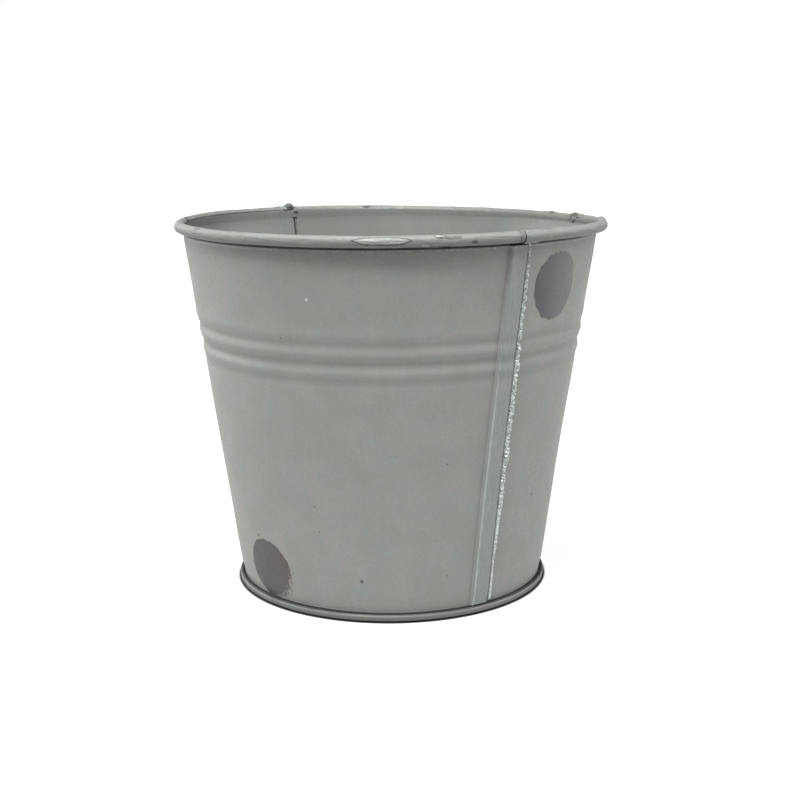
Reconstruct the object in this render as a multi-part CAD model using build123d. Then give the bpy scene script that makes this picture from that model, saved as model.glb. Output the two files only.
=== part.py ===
"""Florist bucket in galvanised sheet steel, modelled as the sheet-metal shop makes it.

Two identical half panels are hooked together by two lock seams on opposite sides, their top edge is rolled
outwards round a steel wire, and a pressed base plate is double-seamed round their foot. Solder fills the notch
beside each side seam, and a ring of sealing compound lies inside the base seam.

The origin is on the floor, at the middle of the foot. +Z is up and -Y is the front. All sizes are in millimetres.
"""

import os
from math import asin, atan, atan2, cos, degrees, radians, sin, sqrt

from build123d import *

# Driving dimensions
RIM_OUTER_D = 200.0  # over the rolled rim
HEIGHT = 172.0  # floor to the top of the rolled rim
FOOT_WALL_D = 144.0  # outside of the wall where it enters the base seam
SHEET = 0.45  # thickness of the galvanised sheet, all over

RIM_WIRE_D = 3.8
RIM_WIRE_CLEARANCE = 0.1  # between the wire and the sheet rolled round it
RIM_WIRE_GAP = 1.5  # between the wire's two cut ends
RIM_WIRE_GAP_AZIMUTH = 125.0  # where those ends are, from the front towards +X
RIM_CURL_TURN = 300.0  # how far round the sheet is rolled, in degrees
RIM_LAP = 6.0  # length of the tail of each rolled edge that is tucked into the next one
RIM_LAP_START = -1.0  # where the next one starts, across the seam from its middle
RIM_LAP_CLEARANCE = 0.1
RIM_COLLAR_START = 100.0  # where the overlapping edge starts, in degrees round the wire from straight outwards

SEAM_AZIMUTH = 35.0  # the front seam, from the front towards +X; the other is opposite
SEAM_WIDTH = 8.0
SEAM_GAP = 0.05  # between the folded layers
SEAM_END_GAP = 0.3  # from each end of the folds to the rim and to the base seam

# Each flank of the two beads carries the sheet sideways (plus is outwards) over a length along the wall.
BEADS_TOP_BELOW_RIM = 42.0  # from the top of the rim down to the highest flank, along the wall
BEAD_FLANK_RUN = 4.1
BEAD_FLANK_RISES = [-0.3, 0.7, -1.2, 1.2, -1.0, 0.6]  # from the lowest flank up; they add up to nothing

FOOT_HEIGHT = 3.9  # height of the base seam
FOOT_GAP = 0.3  # between the layers of the base seam
FOOT_CORNER_R = 0.9  # bends at the standing edge, to the middle of the sheet
KNEE_R = 3.0  # bend from the upright foot to the leaning wall, to the middle of the sheet
KNEE_ABOVE_FOOT = 0.4
BASE_RECESS = 3.2  # floor to the underside of the base plate
BASE_CORNER_R = 1.0
BASE_STEP_D = 112.0  # outside of the stiffening step pressed into the base plate
BASE_STEP_RUN = 4.0
BASE_STEP_RISE = 1.2
SEAL_CLEARANCE = 0.05

SOLDER_WIDTH = 1.1
SOLDER_HEIGHT = 0.8

# Sizes that follow
SEAM_LAYER = SHEET + SEAM_GAP
FOOT_LAYER = SHEET + FOOT_GAP
CURL_R = RIM_WIRE_D / 2 + RIM_WIRE_CLEARANCE + SHEET / 2  # to the middle of the sheet
CURL_OUTER_R = CURL_R + SHEET / 2
CURL_CENTRE = Vector(RIM_OUTER_D / 2 - CURL_OUTER_R, HEIGHT - CURL_OUTER_R)
COLLAR_R = CURL_R + SHEET + RIM_LAP_CLEARANCE
FOOT_WALL_R = FOOT_WALL_D / 2 - SHEET / 2
FOLD_BOTTOM = 1.5 * SHEET + FOOT_GAP + FOOT_LAYER  # centre of the wall's foot bend
FOLD_TOP = FOOT_HEIGHT - SHEET / 2 - FOOT_LAYER  # centre of the base plate's top bend
SEAM_BOTTOM = FOOT_HEIGHT + SEAM_END_GAP
RIM_TAIL_END = RIM_LAP_START + RIM_LAP  # across the seam from its middle
SEAM_TOP = CURL_CENTRE.Y - COLLAR_R - SHEET / 2 - SEAM_END_GAP
FAR = RIM_OUTER_D  # reaches past the bucket on every side


def straight(length):
    return ("straight", length)


def bend(radius, angle):
    """A bend whose radius is to the middle of the sheet. A positive angle, in degrees, turns left."""
    return ("bend", radius, angle)


def flank(run, rise):
    """Two equal opposite bends that carry the sheet to its right by rise over run, and leave it on its old heading."""
    angle = 2 * atan(abs(rise) / run)
    turn = degrees(angle) * (-1 if rise > 0 else 1)
    radius = run / (2 * sin(angle))
    return [bend(radius, turn), bend(radius, -turn)]


def edges_beside(path, offset):
    """The edges of a bent path, offset to its left. Points are (radius, height)."""
    point, heading, moves = path
    edges = []
    for kind, *sizes in moves:
        ahead = Vector(cos(radians(heading)), sin(radians(heading)))
        left = Vector(-ahead.Y, ahead.X)
        if kind == "straight":
            end = point + ahead * sizes[0]
            ends = [point + left * offset, end + left * offset]
            edges.append(Line(*[Vector(p.X, 0, p.Y) for p in ends]))
        else:
            radius, angle = sizes
            side = 1 if angle > 0 else -1
            centre = point + left * radius * side
            arm = (point - centre) * ((radius - side * offset) / radius)
            turns = [radians(angle) * share for share in (0, 0.5, 1)]
            swung = [
                Vector(arm.X * cos(a) - arm.Y * sin(a), arm.X * sin(a) + arm.Y * cos(a)) for a in turns
            ]
            on_arc = [centre + s for s in swung]
            edges.append(ThreePointArc(*[Vector(p.X, 0, p.Y) for p in on_arc]))
            end = centre + swung[2] * (radius / (radius - side * offset))
            heading += angle
        point = end
    return edges


def face_between(one_side, other_side):
    """The face between two rows of edges, closed straight across at both ends."""
    caps = [Line(one_side[i] @ i_end, other_side[i] @ i_end) for i, i_end in ((0, 0), (-1, 1))]
    return make_face(one_side + other_side + caps)


def sheet_face(path, first_layer=0, last_layer=0):
    """Section of a bent sheet, or of a stack of side-seam layers that nest on its right."""
    left_side = edges_beside(path, SHEET / 2 - first_layer * SEAM_LAYER)
    right_side = edges_beside(path, -SHEET / 2 - last_layer * SEAM_LAYER)
    return face_between(left_side, right_side)


def turned(face):
    return revolve(face, axis=Axis.Z, revolution_arc=360)


def block(x0, x1, y0, y1, z0, z1):
    """A box between opposite corners."""
    return Pos((x0 + x1) / 2, (y0 + y1) / 2, (z0 + z1) / 2) * Box(x1 - x0, y1 - y0, z1 - z0)


def front_slice(shape, x0, x1, z0=-FAR, z1=FAR * 2):
    """The part of a shape that lies at the front seam, from x0 to x1 across it."""
    return shape & block(x0, x1, -FAR, 0, z0, z1)


def wall_line():
    """Lean of the wall from upright, and its straight length from the knee to the rim's curl."""
    knee_centre = Vector(FOOT_WALL_R + KNEE_R, FOOT_HEIGHT + KNEE_ABOVE_FOOT)
    reach = CURL_CENTRE - knee_centre
    difference = CURL_R - KNEE_R
    lean = atan2(reach.X, reach.Y) - asin(difference / reach.length)
    return degrees(lean), sqrt(reach.length**2 - difference**2)


def wall_moves():
    """The leaning wall with its beads, from the knee up to the curl."""
    _, length = wall_line()
    beads = [move for rise in BEAD_FLANK_RISES for move in flank(BEAD_FLANK_RUN, rise)]
    above = BEADS_TOP_BELOW_RIM - CURL_OUTER_R
    below = length - above - BEAD_FLANK_RUN * len(BEAD_FLANK_RISES)
    return [straight(below), *beads, straight(above)]


def panel_path():
    """A wall panel's section, from the tip of its foot hook to the end of its curl."""
    lean, _ = wall_line()
    hook = Vector(FOOT_WALL_R + 2 * FOOT_LAYER, FOLD_TOP)
    moves = [
        straight(FOLD_TOP - FOLD_BOTTOM),
        bend(FOOT_LAYER, -180),
        straight(FOOT_HEIGHT + KNEE_ABOVE_FOOT - FOLD_BOTTOM),
        bend(KNEE_R, -lean),
        *wall_moves(),
        bend(CURL_R, -RIM_CURL_TURN),
    ]
    return hook, -90, moves


def seam_path():
    """The wall between the foot and the rim, which every layer of a side seam follows."""
    lean, _ = wall_line()
    start = Vector(FOOT_WALL_R, FOLD_TOP)
    upright = FOOT_HEIGHT + KNEE_ABOVE_FOOT - FOLD_TOP
    return start, 90, [straight(upright), bend(KNEE_R, -lean), *wall_moves()]


def seam_slice(first_layer, last_layer, x0, x1):
    """Sheet from x0 to x1 across the front seam; layer 0 is the wall itself and layer 3 the outermost."""
    face = sheet_face(seam_path(), first_layer, last_layer)
    return front_slice(turned(face), x0, x1, SEAM_BOTTOM, SEAM_TOP)


def outer_hook():
    """The edge that steps up over the other panel, folds back and ends between its two layers."""
    half = SEAM_WIDTH / 2
    step = seam_slice(0, 3, -half - SHEET, -half)
    top_leg = seam_slice(3, 3, -half - SHEET, half)
    fold = seam_slice(1, 3, half - SHEET, half)
    tucked_leg = seam_slice(1, 1, -half + 2 * SEAM_GAP + SHEET, half)
    return step + top_leg + fold + tucked_leg


def inner_hook():
    """The edge that stays at the wall and folds back outwards over the tucked leg."""
    half = SEAM_WIDTH / 2
    fold = seam_slice(0, 2, -half + SEAM_GAP, -half + SEAM_GAP + SHEET)
    leg = seam_slice(2, 2, -half + SEAM_GAP, half - SHEET - SEAM_GAP)
    return fold + leg


def rim_collar():
    """The widened start of a rolled edge, which wraps the tail of the other panel's."""
    lean, _ = wall_line()
    start = radians(RIM_COLLAR_START)
    turn = RIM_COLLAR_START + lean + RIM_CURL_TURN - 180

    def arc_of(radius):
        point = CURL_CENTRE + Vector(cos(start), sin(start)) * radius
        return point, RIM_COLLAR_START - 90, [bend(radius, -turn)]

    wrap = turned(sheet_face(arc_of(COLLAR_R)))
    shoulder_face = face_between(
        edges_beside(arc_of(COLLAR_R), SHEET / 2), edges_beside(arc_of(CURL_R), -SHEET / 2)
    )
    shoulder_start = RIM_TAIL_END + RIM_LAP_CLEARANCE
    shoulder_end = shoulder_start + SHEET
    shoulder = front_slice(turned(shoulder_face), shoulder_start, shoulder_end)
    return front_slice(wrap, RIM_LAP_START, shoulder_end) + shoulder


def wall_panel():
    """The panel that leaves the front seam towards -X. The other one is the same, turned half round."""
    half = SEAM_WIDTH / 2
    neck = SEAM_TOP + SEAM_GAP
    ring = turned(sheet_face(panel_path()))
    sheet = ring & block(-FAR, -half, -FAR, FAR, -FAR, FAR * 2)
    rim_tail = front_slice(ring, -half, RIM_TAIL_END, z0=neck)
    under_back_seam = Rot(0, 0, 180) * front_slice(ring, -half + SEAM_GAP, half, z1=SEAM_TOP)
    under_next_rim = block(-RIM_TAIL_END - RIM_LAP_CLEARANCE, FAR, 0, FAR, SEAM_TOP, FAR * 2)
    return (
        (sheet - under_next_rim)
        + rim_tail
        + under_back_seam
        + outer_hook()
        + Rot(0, 0, 180) * inner_hook()
        + Rot(0, 0, 180) * rim_collar()
    )


def rim_wire():
    """The wire in the rim, cut from a coil, with its two ends left a little apart."""
    section = Pos(CURL_CENTRE.X, 0, CURL_CENTRE.Y) * (Plane.XZ * Circle(RIM_WIRE_D / 2))
    gap = degrees(RIM_WIRE_GAP / CURL_CENTRE.X)
    wire = revolve(section, axis=Axis.Z, revolution_arc=360 - gap)
    return Rot(0, 0, RIM_WIRE_GAP_AZIMUTH - 90 + gap / 2) * wire


def base_plate():
    """The pressed base: hook, standing edge, upright ring against the wall, and the plate with its step."""
    hook = Vector(FOOT_WALL_R + FOOT_LAYER, FOLD_BOTTOM)
    standing_flat = 4 * FOOT_LAYER - 2 * FOOT_CORNER_R
    plate_height = BASE_RECESS + SHEET / 2
    edge_to_step = FOOT_WALL_R - FOOT_LAYER - BASE_CORNER_R - BASE_STEP_D / 2
    moves = [
        straight(FOLD_TOP - FOLD_BOTTOM),
        bend(FOOT_LAYER, -180),
        straight(FOLD_TOP - SHEET / 2 - FOOT_CORNER_R),
        bend(FOOT_CORNER_R, -90),
        straight(standing_flat),
        bend(FOOT_CORNER_R, -90),
        straight(plate_height - BASE_CORNER_R - SHEET / 2 - FOOT_CORNER_R),
        bend(BASE_CORNER_R, 90),
        straight(edge_to_step),
        *flank(BASE_STEP_RUN, BASE_STEP_RISE),
        straight(BASE_STEP_D / 2 - BASE_STEP_RUN),
    ]
    return turned(sheet_face((hook, 90, moves)))


def base_seal_ring():
    """Sealing compound between the wall's hook and the base plate's."""
    gap_inside = FOOT_WALL_R + FOOT_LAYER + SHEET / 2
    inner = gap_inside + SEAL_CLEARANCE
    outer = gap_inside + FOOT_GAP - SEAL_CLEARANCE
    tall = FOLD_TOP - FOLD_BOTTOM
    section = Pos((inner + outer) / 2, 0, (FOLD_TOP + FOLD_BOTTOM) / 2) * (
        Plane.XZ * Rectangle(outer - inner, tall)
    )
    return turned(section)


def seam_solder():
    """Solder run into the notch between the front seam's fold and the wall beside it."""
    path = seam_path()
    wall_side = -SHEET / 2 - SEAM_GAP
    face = face_between(edges_beside(path, wall_side), edges_beside(path, wall_side - SOLDER_HEIGHT))
    notch = SEAM_WIDTH / 2 + SEAM_GAP
    return front_slice(turned(face), notch, notch + SOLDER_WIDTH, SEAM_BOTTOM, SEAM_TOP)


def main():
    panel = wall_panel()
    solder = seam_solder()
    to_front, to_back = Rot(0, 0, SEAM_AZIMUTH), Rot(0, 0, SEAM_AZIMUTH + 180)
    parts = {
        "wall_panel_front": to_front * panel,
        "wall_panel_back": to_back * panel,
        "front_seam_solder": to_front * solder,
        "back_seam_solder": to_back * solder,
        "rim_wire": rim_wire(),
        "base_plate": base_plate(),
        "base_seal_ring": base_seal_ring(),
    }
    os.makedirs("parts", exist_ok=True)
    for name, part in parts.items():
        export_step(part, f"parts/{name}.step")


main()
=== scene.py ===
# %% [markdown]
# # A galvanised florist bucket
# This notebook dresses a finished CAD model of a zinc-coated steel bucket. The CAD model says where every
# piece is and how big it is. Here the same pieces get what a drawing leaves out: bends that are round, a
# rim that is no longer quite true, drips and chips in the zinc, and a surface that looks like old
# galvanised sheet.

# %% Load the CAD frame
import math
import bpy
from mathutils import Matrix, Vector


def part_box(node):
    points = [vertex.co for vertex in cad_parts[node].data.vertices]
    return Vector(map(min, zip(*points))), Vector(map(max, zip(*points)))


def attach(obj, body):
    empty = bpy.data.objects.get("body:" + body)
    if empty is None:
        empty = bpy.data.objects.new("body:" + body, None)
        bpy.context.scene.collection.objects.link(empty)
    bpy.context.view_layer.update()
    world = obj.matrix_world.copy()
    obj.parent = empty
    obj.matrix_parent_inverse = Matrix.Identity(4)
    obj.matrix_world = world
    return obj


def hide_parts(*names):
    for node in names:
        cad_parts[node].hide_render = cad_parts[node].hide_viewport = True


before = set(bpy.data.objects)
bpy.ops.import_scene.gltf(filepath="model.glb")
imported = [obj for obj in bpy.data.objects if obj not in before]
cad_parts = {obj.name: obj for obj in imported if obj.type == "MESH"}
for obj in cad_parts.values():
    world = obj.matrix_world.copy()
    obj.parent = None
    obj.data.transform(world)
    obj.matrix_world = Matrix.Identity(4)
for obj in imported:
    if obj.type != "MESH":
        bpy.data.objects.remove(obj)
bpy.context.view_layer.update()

from types import SimpleNamespace

import bmesh
import bpy
import numpy as np
from mathutils import Euler, Matrix, Vector

# %% [markdown]
# ## Sizes
# A sheet-metal worker thinks in millimetres, so the shapes below are worked out in millimetres, and divided
# by 1000 when a mesh is made. The big sizes are read off the CAD pieces. The small ones, such as the
# sheet's thickness, are the same that the CAD model was drawn with.

# %% Sizes in millimetres
MM = 0.001


def box_mm(node):
    """The lowest and highest corner of a CAD piece, in millimetres."""
    return [[v / MM for v in corner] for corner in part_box(node)]


SHEET = 0.45
SEAM_WIDTH = 8.0
SEAM_AZIMUTH = 35.0  # degrees from the front, which is -Y, towards +X; the other seam is opposite
SEAM_LAYER = 0.5  # from one folded layer to the next
SEAM_GAP = 0.05
RIM_LAP_START, RIM_LAP_END = -1.0, 5.0  # across the seam from its middle
WIRE_CLEARANCE = 0.1
print(f"sheet {SHEET} mm, seams {SEAM_WIDTH:g} mm wide at {SEAM_AZIMUTH:g} degrees and opposite")

# %% The rim, read off the CAD wire
wire_low, wire_high = box_mm("rim_wire")
WIRE_D = wire_high[2] - wire_low[2]
CURL_R = WIRE_D / 2 + WIRE_CLEARANCE + SHEET / 2  # to the middle of the sheet
CURL_OUTER_R = CURL_R + SHEET / 2
CURL_TURN = 300.0  # how far round the wire the sheet is rolled, in degrees
RIM_R = wire_high[0] - WIRE_D / 2  # to the middle of the wire
RIM_Z = (wire_high[2] + wire_low[2]) / 2
COLLAR_STEP = SHEET + 0.1  # how much wider the overlapping rim is
print(f"rim radius {RIM_R:.2f} mm, rim height {RIM_Z:.2f} mm, wire {WIRE_D:.1f} mm")

# %% The foot and the seams, read off the sealant and the solder
SEAL_CLEARANCE = 0.25  # from the sealant to the sheet round it
seal_low, seal_high = box_mm("base_seal_ring")
FOOT_LAYER = 0.75  # from one layer of the base seam to the next
FOOT_WALL_R = seal_high[0] - SEAL_CLEARANCE - SHEET / 2 - FOOT_LAYER
FOLD_BOTTOM, FOLD_TOP = seal_low[2], seal_high[2]
FOOT_HEIGHT = FOLD_TOP + FOOT_LAYER + SHEET / 2
KNEE_R = 3.0
KNEE_Z = FOOT_HEIGHT + 0.4  # where the upright foot bends into the wall

solder_low, solder_high = box_mm("front_seam_solder")
SEAM_BOTTOM, SEAM_TOP = solder_low[2], solder_high[2]
print(f"foot wall radius {FOOT_WALL_R:.2f} mm, seams from {SEAM_BOTTOM:.1f} to {SEAM_TOP:.1f} mm up")

# %% [markdown]
# ## The section of a bent sheet
# Every piece of this bucket is one thickness of sheet that was bent, so one path describes it: straight,
# bend, straight, bend. The path below is walked like a turtle, and leaves a row wherever the mesh needs
# one: few on a straight run, many round a tight bend. Each row also knows which way is right of the path,
# because folded layers lie that way.

# %% Walk a bent path


def walk(start, heading, moves):
    """Rows (radius, height, right_r, right_z) along a path. A move is ("straight", [distances]) or
    ("bend", radius, angle, steps), and a positive angle, in degrees, turns left."""
    r, z = start
    heading = math.radians(heading)
    rows = [(r, z, math.sin(heading), -math.cos(heading))]
    for kind, *sizes in moves:
        if kind == "straight":
            for distance in sizes[0]:
                end_r = r + distance * math.cos(heading)
                end_z = z + distance * math.sin(heading)
                rows.append((end_r, end_z, math.sin(heading), -math.cos(heading)))
            r, z = end_r, end_z
            continue
        radius, angle, steps = sizes
        side = math.copysign(1, angle)
        centre_r = r - math.sin(heading) * radius * side
        centre_z = z + math.cos(heading) * radius * side
        for _ in range(steps):
            heading += math.radians(angle) / steps
            r = centre_r + math.sin(heading) * radius * side
            z = centre_z - math.cos(heading) * radius * side
            rows.append((r, z, math.sin(heading), -math.cos(heading)))
    return np.array(rows)


corner = walk((0, 0), 0, [("straight", [10]), ("bend", 2, 90, 6)])
print("10 mm and a bend of 2 mm radius end at", corner[-1][:2].round(2), "after", len(corner), "rows")

# %% The lean of the wall


def wall_lean():
    """The lean of the wall from upright in degrees, and its straight length from the knee to the rim."""
    reach_r = RIM_R - (FOOT_WALL_R + KNEE_R)
    reach_z = RIM_Z - KNEE_Z
    reach = math.hypot(reach_r, reach_z)
    lean = math.atan2(reach_r, reach_z) - math.asin((CURL_R - KNEE_R) / reach)
    return math.degrees(lean), math.sqrt(reach**2 - (CURL_R - KNEE_R) ** 2)


LEAN, WALL_LENGTH = wall_lean()
print(f"the wall leans {LEAN:.2f} degrees and is {WALL_LENGTH:.1f} mm from bend to bend")

# %% [markdown]
# ## Rows up the wall
# Two beads run round the bucket. They were pressed by a pair of rollers and keep a thin wall stiff. A row
# every half millimetre there keeps their soft waves smooth, while the plain cone below needs one only every
# 6 mm. A faint crease, 7.6 mm below the top, shows where the edge was turned up before it was rolled round
# the wire.

# %% Rows and beads
BEAD_KNOTS = [  # distance below the rim's top, and how far out from the plain wall
    (38.0, 0.0),
    (42.6, 0.18),
    (47.2, -0.32),
    (50.8, 0.42),
    (55.6, -0.46),
    (59.3, 0.38),
    (63.2, -0.12),
    (67.0, 0.0),
]
CREASE_BELOW_RIM = 7.6
SEAM_NECK = 0.6  # from the end of the folded seam to where the panels lie flat on each other
CLOSEST_ROWS = 0.12
STRETCHES = [  # up to this distance below the rim's top, a row this often
    (WALL_LENGTH, 6.0),
    (BEAD_KNOTS[-1][0], 0.6),
    (BEAD_KNOTS[0][0], 3.0),
    (CREASE_BELOW_RIM + 1.5, 0.5),
    (CREASE_BELOW_RIM - 1.5, 0.7),
]


def height_along(z):
    """Distance along the straight wall, from the knee, of a point at that height."""
    knee_top = KNEE_Z + KNEE_R * math.sin(math.radians(LEAN))
    return (z - knee_top) / math.cos(math.radians(LEAN))


def wall_distances():
    """Distances along the wall, from the knee, at which the mesh has a row."""
    specials = [height_along(SEAM_TOP), height_along(SEAM_TOP + SEAM_NECK)]
    marks = [*specials, WALL_LENGTH]
    ends = [below for below, _ in STRETCHES[1:]] + [CURL_OUTER_R]
    low = 0.0
    for (_, spacing), end in zip(STRETCHES, ends):
        high = WALL_LENGTH + CURL_OUTER_R - end
        marks += list(np.linspace(low, high, max(2, round((high - low) / spacing) + 1)))
        low = high
    marks = sorted(m for m in marks if 0 < m <= WALL_LENGTH + 1e-6)
    keep = [m for m, after in zip(marks, marks[1:] + [math.inf]) if after - m > CLOSEST_ROWS]
    for special in specials:
        nearest = min(range(len(keep)), key=lambda i: abs(keep[i] - special))
        keep[nearest] = special
    return keep


DISTANCES = wall_distances()
print(len(DISTANCES), "rows up the straight wall")

# %% The shape of the beads


def smooth(x):
    """0 below 0, 1 above 1, and an S between."""
    x = np.clip(x, 0, 1)
    return x * x * (3 - 2 * x)


def bead_profile(below):
    """How far the beads carry the wall outwards, at a distance below the rim's top."""
    places, levels = np.array(BEAD_KNOTS).T
    first = np.clip(np.searchsorted(places, below) - 1, 0, len(places) - 2)
    step = np.clip((below - places[first]) / (places[first + 1] - places[first]), 0, 1)
    step = 0.35 * step + 0.65 * smooth(step)  # a roller leaves slopes that are fuller than a plain S
    return levels[first] + (levels[first + 1] - levels[first]) * step


def hump(x, half_width):
    """A bell from 1 at 0 to nothing beyond the half width."""
    return smooth(1 - np.abs(x) / half_width)


print("deepest groove of the beads:", min(level for _, level in BEAD_KNOTS), "mm")

# %% The panel's section
HOOK_ROWS, HOOK_BEND_ROWS, UPRIGHT_ROWS, KNEE_ROWS, CURL_ROWS = 2, 8, 3, 3, 40
SEAM_FOOT_LIFT = SEAM_BOTTOM - FOLD_BOTTOM
PANEL_ROWS = walk(
    (FOOT_WALL_R + 2 * FOOT_LAYER, FOLD_TOP),
    -90,
    [
        ("straight", [0.6, FOLD_TOP - FOLD_BOTTOM]),
        ("bend", FOOT_LAYER, -180, HOOK_BEND_ROWS),
        ("straight", [1.0, SEAM_FOOT_LIFT, KNEE_Z - FOLD_BOTTOM]),
        ("bend", KNEE_R, -LEAN, KNEE_ROWS),
        ("straight", DISTANCES),
        ("bend", CURL_R, -CURL_TURN, CURL_ROWS),
    ],
)
FIRST_SEAM_ROW = HOOK_ROWS + HOOK_BEND_ROWS + 2
FIRST_WALL_ROW = HOOK_ROWS + HOOK_BEND_ROWS + UPRIGHT_ROWS + KNEE_ROWS + 1
FIRST_CURL_ROW = FIRST_WALL_ROW + len(DISTANCES)
LAST_SEAM_ROW = FIRST_WALL_ROW + DISTANCES.index(height_along(SEAM_TOP))
NECK_ROW = FIRST_WALL_ROW + DISTANCES.index(height_along(SEAM_TOP + SEAM_NECK))
print(len(PANEL_ROWS), "rows; the seam runs from row", FIRST_SEAM_ROW, "to", LAST_SEAM_ROW, "of them")

# %% [markdown]
# ## What hands and years did to the shape
# A CAD cone is perfect. This bucket was rolled, soldered, dipped, stacked and dropped. The wall has very
# slow waves and a fuller left side, and the beads die out where the seam was too thick for the rollers.
# Slow waves are sums of a few sines, so they repeat without a join as they go round.

# %% Slow waves


def round_waves(azimuth, counts, seed):
    """A smooth wave round the bucket with that many humps, about 1 high."""
    phases = np.random.default_rng(seed).uniform(0, 2 * math.pi, len(counts))
    waves = [np.sin(n * azimuth + phase) for n, phase in zip(counts, phases)]
    return sum(waves) / math.sqrt(len(counts))


print("three waves together, at the front:", round(float(round_waves(0.0, (3, 5, 8), 1)), 2))

def turn_between(azimuth, degrees):
    """The signed angle from a place on the bucket to each azimuth, in degrees, from -180 to 180."""
    return (np.degrees(azimuth) - degrees + 180) % 360 - 180


# %% How far the wall stands out


def bead_share(azimuth):
    """How strongly the beads show: fully on the plain wall, hardly at all across and just past a seam."""
    share = np.ones_like(azimuth)
    for seam in (SEAM_AZIMUTH, SEAM_AZIMUTH + 180):
        past = turn_between(azimuth, seam)
        reach = np.where(past > 0, 34.0, 4.5)
        share = share - 0.72 * np.exp(-((past / reach) ** 2))
    return share


def wall_offset(azimuth, below):
    """How far the real wall stands out from the cone, in millimetres."""
    beads = bead_profile(below) * bead_share(azimuth)
    left = np.clip(-np.sin(azimuth), 0, 1) ** 2
    up_wall = WALL_LENGTH - below
    belly = 0.65 * smooth((up_wall - 20) / 60)
    belly = belly + 0.25 * smooth(up_wall / 15) * (1 - smooth((up_wall - 50) / 30))
    belly = left * (belly + 0.5 * smooth((below - CURL_OUTER_R) / 8) * (1 - smooth((below - 40) / 15)))
    flare = 0.45 * (1 - smooth(up_wall / 55))
    fade = smooth((WALL_LENGTH - below) / 25) * smooth((below - CURL_OUTER_R) / 20)
    slow = 0.12 * round_waves(azimuth, (3, 5, 8), 1)
    slow = slow + 0.05 * round_waves(azimuth + below / 60, (7, 11, 13), 2)
    seams = np.abs((np.degrees(azimuth) - SEAM_AZIMUTH + 90) % 180 - 90)
    crease = 0.13 * hump(below - CREASE_BELOW_RIM, 0.9) * smooth((seams - 4) / 3)
    crease = crease * smooth((np.cos(azimuth) - 0.1) / 0.3)
    crease = crease * (0.65 + 0.35 * round_waves(azimuth, (9, 14, 23), 3))
    return beads + belly + flare + fade * slow + crease


share_round = bead_share(np.radians(np.arange(360)))
print(f"the beads keep {share_round.min():.2f} to {share_round.max():.2f} of their height")

# %% [markdown]
# ## A rim out of true
# A thin ring that was squeezed goes into a saddle: it rises and falls twice in a round. This one is also
# knocked down at the front and sags in two places behind. All of it fades away towards the foot. The seams
# were laid by hand and lean from upright, so the whole wall is turned a little more at the foot than at the
# rim.

# %% The rim's settling and the seams' lean
RIM_SADDLE = 0.38  # how far the rim rises and falls, twice in a round
RIM_DIP = 0.75  # how far it is knocked down at the front, most at this azimuth
RIM_DIP_AZIMUTH = math.radians(14.3)
RIM_SAGS = [(108, 32, 1.2), (165, 40, 0.55)]  # azimuth and half width in degrees, and depth of dips behind
TWIST_AT_FOOT = math.radians(-2.05)
TWIST_AT_RIM = math.radians(-0.5)


def settle(azimuth, z):
    """How far the bucket's top is out of true: up, and outwards, in millimetres."""
    share = smooth(z / (RIM_Z + CURL_OUTER_R)) ** 2
    dip = RIM_DIP * np.clip(np.cos(azimuth - RIM_DIP_AZIMUTH), 0, 1) ** 2
    up = RIM_SADDLE * np.sin(2 * azimuth) - dip + 0.05 * round_waves(azimuth, (5, 7, 9), 4)
    for middle, half_width, depth in RIM_SAGS:
        up = up - depth * np.exp(-((turn_between(azimuth, middle) / half_width) ** 2))
    out = -0.25 * np.cos(2 * azimuth + 0.6) + 0.8 * np.sin(azimuth)
    out = out + 0.06 * round_waves(azimuth, (3, 7, 10), 5)
    return share * up, share * out


def twist(z):
    """How far the wall is turned about the bucket's axis at a height."""
    return TWIST_AT_FOOT + (TWIST_AT_RIM - TWIST_AT_FOOT) * z / RIM_Z


all_round = np.radians(np.arange(360))
rim_up = settle(all_round, RIM_Z)[0]
print(f"the rim is out of true by {rim_up.min():.2f} to {rim_up.max():.2f} mm")

# %% [markdown]
# ## Lumps on the rolled rim
# Where the bucket was dipped, zinc ran to the rim and set as drips, and knocks have flattened some of them.
# A lump is named by where it sits: its azimuth round the bucket and its angle round the wire, with 0
# straight outwards and 90 on top. Its length and breadth are in millimetres. A minus height is a nick.

# %% Lumps and nicks
RIM_LUMPS = [  # azimuth, angle round the wire, half length, half breadth, height
    (-57, 62, 3.4, 2.0, 0.42),
    (-52, 75, 2.0, 1.4, -0.22),
    (-76, 40, 6.0, 2.5, 0.18),
    (-8.5, 10, 1.6, 2.2, 0.22),
    (6.0, 5, 1.8, 2.4, 0.25),
    (8.5, -50, 2.2, 1.5, 0.30),
    (11.6, 62, 2.0, 1.2, 0.36),
    (12.6, 15, 2.0, 1.3, -0.30),
    (15.2, 20, 3.0, 1.2, -0.22),
    (11.2, -76, 2.2, 1.3, 0.42),
    (14.0, -80, 2.6, 1.3, -0.25),
    (20.0, -32, 1.5, 1.1, -0.45),
    (19.0, -10, 1.6, 1.0, 0.20),
    (33.0, 25, 1.4, 3.5, -0.20),
    (52.0, -15, 9.0, 1.2, 0.12),
    (88, 55, 4.0, 3.0, 0.35),
    (104, 95, 6.0, 2.5, 0.30),
    (150, 80, 5.0, 2.0, 0.16),
    (-120, 60, 6.0, 2.5, 0.16),
    (-95, 120, 3.0, 1.6, 0.25),
]


def rim_offset(azimuth, angle):
    """How far the rolled rim stands out from a true round, away from the wire, in millimetres."""
    out = 0.05 * round_waves(azimuth + angle * 0.3, (17, 29, 41), 6)
    out = out + 0.035 * round_waves(azimuth - angle, (53, 71), 7)
    for place, around, length, breadth, height in RIM_LUMPS:
        along = np.radians(turn_between(azimuth, place)) * RIM_R / length
        across = np.radians(turn_between(angle, around)) * CURL_OUTER_R / breadth
        out = out + height * np.exp(-1.2 * (along**2 + across**2))
    return out


print(len(RIM_LUMPS), "lumps and nicks on the rim")

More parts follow.
